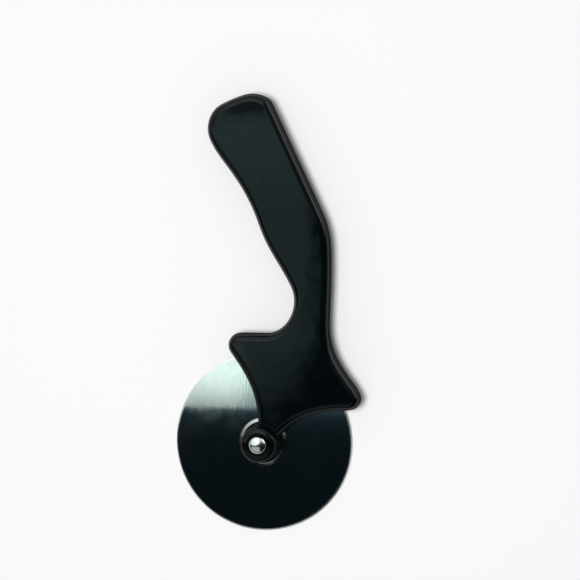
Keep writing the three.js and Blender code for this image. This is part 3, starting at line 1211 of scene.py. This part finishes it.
@dataclass
class Axle:
    """Rivet, sleeve and washers that carry the wheel."""

    shank_r: float = 2.0
    head_r: float = 3.65
    head_h: float = 2.3
    head_steps: int = 36
    tail_h: float = 0.9
    tail_chamfer: float = 0.3
    tail_round: float = 0.1
    bore_r: float = 2.3
    wheel_bore_r: float = 3.5
    dish_flat_r: float = 8.4
    dish_rim_r: float = 9.4
    dish_sheet: float = 0.45
    dish_lip: float = 0.15
    dish_lip_round: float = 0.05
    dish_edge_round: float = 0.06
    dish_inner_round: float = 0.3
    fine: float = 0.12
    steps: int = 128

    def rivet_mesh(self) -> Mesh:
        """Makes the rivet: flattened tail, shank and a head that is half an ellipse.

        Returns:
            Its mesh.
        """
        _, high = box_mm("axle_rivet")
        tail_r = high.x
        seat_z = high.z - self.head_h
        lower = rounded_section([
            (0.0, 0.0, 0.0),
            (tail_r - self.tail_chamfer, 0.0, self.tail_round),
            (tail_r, self.tail_chamfer, self.tail_round),
            (tail_r, self.tail_h, self.fine),
            (self.shank_r, self.tail_h, 0.0),
            (self.shank_r, seat_z, 0.0),
            (self.head_r, seat_z, self.fine),
            (self.head_r, high.z, 0.0),
        ])
        lower = lower[(lower[:, 1] < seat_z + self.fine) & (lower[:, 0] > 0.0)]
        angle = np.linspace(np.arcsin(self.fine / self.head_h), QUARTER, self.head_steps)
        dome = np.column_stack([self.head_r * np.cos(angle), seat_z + self.head_h * np.sin(angle)])
        dome[-1, 0] = 0.0
        return turned(np.vstack([[[0.0, 0.0]], lower, dome]), self.steps).mesh("rivet_turned")

    def _ring(self, node: str) -> Mesh:
        """Makes a ring with softened corners in a node's place.

        Args:
            node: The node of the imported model.

        Returns:
            Its mesh.
        """
        low, high = box_mm(node)
        corners = [(self.bore_r, low.z), (high.x, low.z), (high.x, high.z), (self.bore_r, high.z)]
        section = rounded_section([(*corner, self.fine) for corner in corners])
        return turned(section, self.steps).mesh(node)

    def dish_mesh(self) -> Mesh:
        """Makes the dished washer: sheet with a flat ring and a sloped rim that reaches towards the wheel.

        Returns:
            Its mesh.
        """
        low, high = box_mm("dished_washer")
        hollow_z = high.z - self.dish_sheet
        section = rounded_section([
            (self.wheel_bore_r, hollow_z, self.dish_edge_round),
            (self.dish_flat_r - self.dish_sheet / 2, hollow_z, self.dish_inner_round),
            (self.dish_rim_r - self.dish_sheet, low.z, self.dish_lip_round),
            (self.dish_rim_r, low.z, self.dish_lip_round),
            (self.dish_rim_r, low.z + self.dish_lip, self.dish_edge_round),
            (self.dish_flat_r, high.z, self.fine),
            (self.wheel_bore_r, high.z, self.dish_edge_round),
        ])
        return turned(section, self.steps).mesh("dished_washer_pressing")

    def build(self) -> None:
        """Builds and dresses the axle's pieces."""
        plain = PLAIN_FINISH.material()
        pressed = PRESSED_FINISH.material()
        for mesh, name, slot, material, node in (
            (self.rivet_mesh(), "rivet_turned", Slot.RIVET, RIVET_FINISH.material(), "axle_rivet"),
            (self._ring("axle_sleeve"), "sleeve_turned", Slot.PLAIN, plain, "axle_sleeve"),
            (self._ring("rear_washer"), "rear_washer_ring", Slot.PLAIN, plain, "rear_washer"),
            (self.dish_mesh(), "dished_washer_pressing", Slot.PRESSED, pressed, "dished_washer"),
        ):
            place(mesh, name, Body.HANDLE, material, node)


# Wheel


@dataclass
class Wheel:
    """Cutting wheel: a flat disc with a bevel ground on both sides of its rim."""

    bore_r: float = 3.5
    grind_w: float = 0.5
    rim_t: float = 0.16
    rim_round: float = 0.04
    edge_round: float = 0.05
    round_steps: int = 4
    steps: int = 360

    def build(self) -> None:
        """Builds and dresses the wheel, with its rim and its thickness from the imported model."""
        low, high = box_mm("blade")
        flat_r = high.x - self.grind_w
        middle = (low.z + high.z) / 2
        section = rounded_section([
            (self.bore_r, low.z, self.edge_round),
            (flat_r, low.z, self.edge_round),
            (high.x, middle - self.rim_t / 2, self.rim_round),
            (high.x, middle + self.rim_t / 2, self.rim_round),
            (flat_r, high.z, self.edge_round),
            (self.bore_r, high.z, self.edge_round),
        ], self.round_steps)
        mesh = turned(section, self.steps).mesh("wheel_disc")
        steel = BladeSteel(flat_r * MM).material()
        place(mesh, "wheel_disc", Body.WHEEL, steel, "blade")


# Studio


@dataclass
class Studio:
    """Pale floor, a soft key lamp, an even fill, and a soft box and walls that show only as reflections."""

    floor_half: float = 4.0
    floor_z: float = -0.00005
    floor_colour: Colour = (0.95, 0.95, 0.95, 1.0)
    key_centre: Pair = (-0.03, 0.1)
    key_half: float = 0.18
    key_z: float = 1.3
    key_light: float = 30.5
    fill: float = 0.3
    ceiling: float = 0.0075
    panel_z: float = 0.6
    box_low: float = -0.057
    box_top: float = 0.148
    box_left: float = -1.3
    box_right: float = -0.0815
    box_slope: Pair = (-0.5, 0.06)  # where the slope at its lower left leaves the lower and the left edge
    box_fall: Falloff = Falloff(
        x=(Fade(-0.0815, -0.0865),), y=(Fade(-0.071, -0.029, 0.2, 1.48), Fade(0.148, 0.143, 0.4))
    )
    box_cut: Pair = (0.030, 0.046)  # width and height of the corner that fades out at its lower right
    box_cut_fade: Fade = Fade(0.0, -0.007)
    wheel_part: Falloff = Falloff(x=(Fade(-0.129, -0.137),), y=(Fade(0.03, -0.008),))
    handle_part: Falloff = Falloff(y=(Fade(0.065, 0.14, 0.64), Fade(-0.03, -0.006, 0.75)))
    border_x: Pair = (-0.7, 0.05)
    border_h: float = 0.12
    border_lift: float = 0.001
    spills: tuple[Pair, ...] = ((0.055, 0.0022), (0.022, 0.009))  # brightness and reach of each
    front_wall: Falloff = Falloff(
        x=(Fade(-0.9, -0.75), Fade(0.32, 0.1)), y=(Fade(-0.25, -0.29, 0.0, 0.42),), z=(Fade(0.1, 0.5),)
    )
    right_wall: Falloff = Falloff(x=(Fade(0.45, 0.7, 0.0, 4.5),), y=(Fade(0.1, 0.45),), z=(Fade(0.38, 0.1),))
    left_wall: Falloff = Falloff(x=(Fade(-0.6, -0.9, 0.0, 0.05),))
    back_side: float = 113.0  # the brightest side, in degrees from +X
    back_base: Falloff = Falloff(x=(Fade(-0.15, 0.5, 0.04, 0.62),), z=(Fade(1.0, 0.6, 0.4),))
    back_glow: Falloff = Falloff(
        x=(Fade(0.5, 1.1, 0.0, 2.6),), z=(Fade(0.8, 0.9, 0.32), Fade(1.0, 0.95, 0.5))
    )
    back_reach: Falloff = Falloff(y=(Fade(0.0285, 0.0395),), z=(Fade(-0.02, 0.42),))
    least_flat: float = 0.01  # keeps the turn defined straight above
    white: Colour = (1.0, 1.0, 1.0, 1.0)
    cool: Colour = (0.68, 1.0, 1.03, 1.0)
    mild: Colour = (0.82, 1.0, 0.91, 1.0)
    pale: Colour = (0.93, 1.0, 0.98, 1.0)
    blue: Colour = (0.52, 1.0, 1.3, 1.0)

    def _panel(
        self, name: str, corners: Sequence[Pair], z: float
    ) -> tuple[bpy.types.Object, NodeSheet, Socket]:
        """Makes a flat piece of the stage and begins its material.

        Args:
            name: Its name.
            corners: Its corners.
            z: Its height.

        Returns:
            The object, its material's sheet and the Object coordinates.
        """
        mesh = bpy.data.meshes.new(name)
        mesh.from_pydata([(x, y, z) for x, y in corners], [], [range(len(corners))])
        material, sheet, spot = new_material(f"{name}_surface")
        mesh.materials.append(material)
        piece = bpy.data.objects.new(name, mesh)
        bpy.context.scene.collection.objects.link(piece)
        return piece, sheet, spot

    def _glow(
        self, lamp: bpy.types.Object, sheet: NodeSheet, colour: Value, strength: Value, *hidden: str
    ) -> None:
        """Ends a lamp's material, and hides the lamp from the camera.

        Args:
            lamp: The lamp.
            sheet: The sheet of its material.
            colour: Its colour, or an output of the sheet.
            strength: Its brightness, or an output of the sheet.
            *hidden: Other kinds of rays that don't meet it.
        """
        glow = sheet.add("Emission", {"Color": colour, "Strength": strength})
        sheet.add("OutputMaterial", {"Surface": glow.outputs[0]})
        for rays in ("camera", *hidden):
            setattr(lamp, f"visible_{rays}", False)

    def floor(self) -> None:
        """Lays the pale floor, which can be seen through from below."""
        half = self.floor_half
        corners = [(-half, -half), (half, -half), (half, half), (-half, half)]
        _, sheet, _ = self._panel("floor", corners, self.floor_z)
        pale = sheet.add("BsdfDiffuse", {"Color": self.floor_colour}).outputs[0]
        clear = sheet.add("BsdfTransparent").outputs[0]
        below = sheet.add("NewGeometry").outputs["Backfacing"]
        mixed = sheet.add("MixShader", {0: below, 1: pale, 2: clear}).outputs[0]
        sheet.add("OutputMaterial", {"Surface": mixed})

    def key(self) -> None:
        """Hangs the key lamp above, which lights matt surfaces and isn't mirrored."""
        (x, y), half = self.key_centre, self.key_half
        corners = [(x - half, y - half), (x - half, y + half), (x + half, y + half), (x + half, y - half)]
        lamp, sheet, _ = self._panel("key_lamp", corners, self.key_z)
        self._glow(lamp, sheet, self.white, self.key_light, "glossy")

    def soft_box(self) -> None:
        """Hangs the soft box that the wheel and the handle mirror, with a part of its own tint for each.

        It is dimmer to its right, its top and its lower edge, and fades past a line that cuts off its lower
        right corner.
        """
        low, right, high, left = self.box_low, self.box_right, self.box_top, self.box_left
        slope_x, slope_y = self.box_slope
        corners = [(right, low), (slope_x, low), (left, slope_y), (left, high), (right, high)]
        box, sheet, spot = self._panel("soft_box", corners, self.panel_z)
        way = sheet.split(spot)
        across, up = self.box_cut
        length = math.hypot(across, up)
        offset = (right * up - (low + up) * across) / length
        past = sheet.math("MULTIPLY_ADD", way[0], up / length, -offset)
        beyond = sheet.math("MULTIPLY_ADD", way[1], -across / length, past)
        wheel = self.wheel_part.level(sheet, way)
        part = sheet.span(wheel, 0.0, 1.0, self.handle_part.level(sheet, way), 1.0)
        corner = sheet.span(beyond, *self.box_cut_fade)
        level = sheet.product(self.box_fall.level(sheet, way), corner, part)
        self._glow(box, sheet, sheet.blend(wheel, self.cool, self.mild), level, "diffuse", "shadow")

    def border(self) -> None:
        """Hangs a dim border below the soft box, which falls off as a sum of exponentials."""
        (left, right), high = self.border_x, self.box_low
        low = high - self.border_h
        corners = [(right, low), (left, low), (left, high), (right, high)]
        border, sheet, spot = self._panel("box_border", corners, self.panel_z + self.border_lift)
        away = sheet.math("SUBTRACT", sheet.split(spot)[1], high)
        level: Value = self.ceiling
        for light, reach in self.spills:
            fall = sheet.math("EXPONENT", sheet.math("DIVIDE", away, reach))
            level = sheet.math("MULTIPLY_ADD", fall, light, level)
        self._glow(border, sheet, self.blue, level, "diffuse", "shadow")

    def _behind(self, sheet: NodeSheet, way: Sequence[Socket]) -> Value:
        """Makes the light from behind, strongest to one side and near the top.

        It is (base + glow) * reach, each a product of smooth steps of c, y and z, where c is the cosine of
        the turn from the brightest side.

        Args:
            sheet: The room's sheet.
            way: X, y and z of the direction.

        Returns:
            The brightness.
        """
        x, y, z = way
        turn = math.radians(self.back_side)
        along = sheet.math("MULTIPLY_ADD", x, math.cos(turn), sheet.product(y, math.sin(turn)))
        flat = sheet.math("SQRT", sheet.math("MULTIPLY_ADD", x, x, sheet.product(y, y)))
        facing = sheet.math("DIVIDE", along, sheet.math("MAXIMUM", flat, self.least_flat))
        falloffs = (self.back_base, self.back_glow, self.back_reach)
        base, glow, reach = (falloff.level(sheet, (facing, y, z)) for falloff in falloffs)
        return sheet.product(sheet.math("ADD", base, glow), reach)

    def room(self) -> None:
        """Makes the room: an even fill for matt surfaces, and a dark ceiling and dim walls to be mirrored."""
        world = bpy.data.worlds.new("room")
        bpy.context.scene.world = world
        world.use_nodes = True
        world.cycles.sampling_method = "NONE"
        sheet = NodeSheet(world.node_tree)
        way = sheet.split(sheet.add("TexCoord").outputs["Generated"])
        front, right, left = (
            wall.level(sheet, way) for wall in (self.front_wall, self.right_wall, self.left_wall)
        )
        walls = sheet.math("ADD", self._behind(sheet, way), sheet.math("ADD", right, left))
        lights = ((self.blue, self.ceiling), (self.pale, walls), (self.white, front), (self.white, self.fill))
        dim, wall, plain, even = (
            sheet.add("Background", {"Color": colour, "Strength": strength}).outputs[0]
            for colour, strength in lights
        )
        both = sheet.add("AddShader", {0: dim, 1: wall}).outputs[0]
        mirrored = sheet.add("AddShader", {0: both, 1: plain}).outputs[0]
        matt = sheet.add("LightPath").outputs["Is Diffuse Ray"]
        mixed = sheet.add("MixShader", {0: matt, 1: mirrored, 2: even}).outputs[0]
        sheet.add("OutputWorld", {"Surface": mixed})

    def build(self) -> None:
        """Sets up floor, lamps and room."""
        self.floor()
        self.key()
        self.soft_box()
        self.border()
        self.room()
        bpy.context.scene.view_settings.view_transform = "Standard"


@dataclass
class PhotoCamera:
    """Camera at the photograph's angle: a long lens, a little to the right of the front and above it."""

    aim: Triple = (9.66, 59.48, -2.8)
    distance: float = 800.0
    to_right: float = 10.953
    raised: float = 3.211
    lens: float = 126.3
    sensor: float = 36.0
    clip: Pair = (0.01, 50.0)  # metres

    def build(self) -> None:
        """Makes the camera, turned round Y and then round its own X, and moved back from its aim."""
        data = bpy.data.cameras.new("photo_camera")
        data.lens = self.lens
        data.sensor_width = self.sensor
        data.clip_start, data.clip_end = self.clip
        camera = bpy.data.objects.new("photo_camera", data)
        bpy.context.scene.collection.objects.link(camera)
        side = Matrix.Rotation(math.radians(self.to_right), 4, "Y")
        lift = Matrix.Rotation(-math.radians(self.raised), 4, "X")
        back = Matrix.Translation((0.0, 0.0, self.distance * MM))
        camera.matrix_world = Matrix.Translation(Vector(self.aim) * MM) @ side @ lift @ back
        bpy.context.scene.camera = camera


def main() -> None:
    """Builds the cutter, its stage and the camera."""
    logging.basicConfig(level=logging.INFO, format="%(name)s: %(message)s")
    PhotoCamera().build()
    Studio().build()
    for assembly in (Handle(), Axle(), Wheel()):
        assembly.build()


if __name__ == "__main__":
    main()
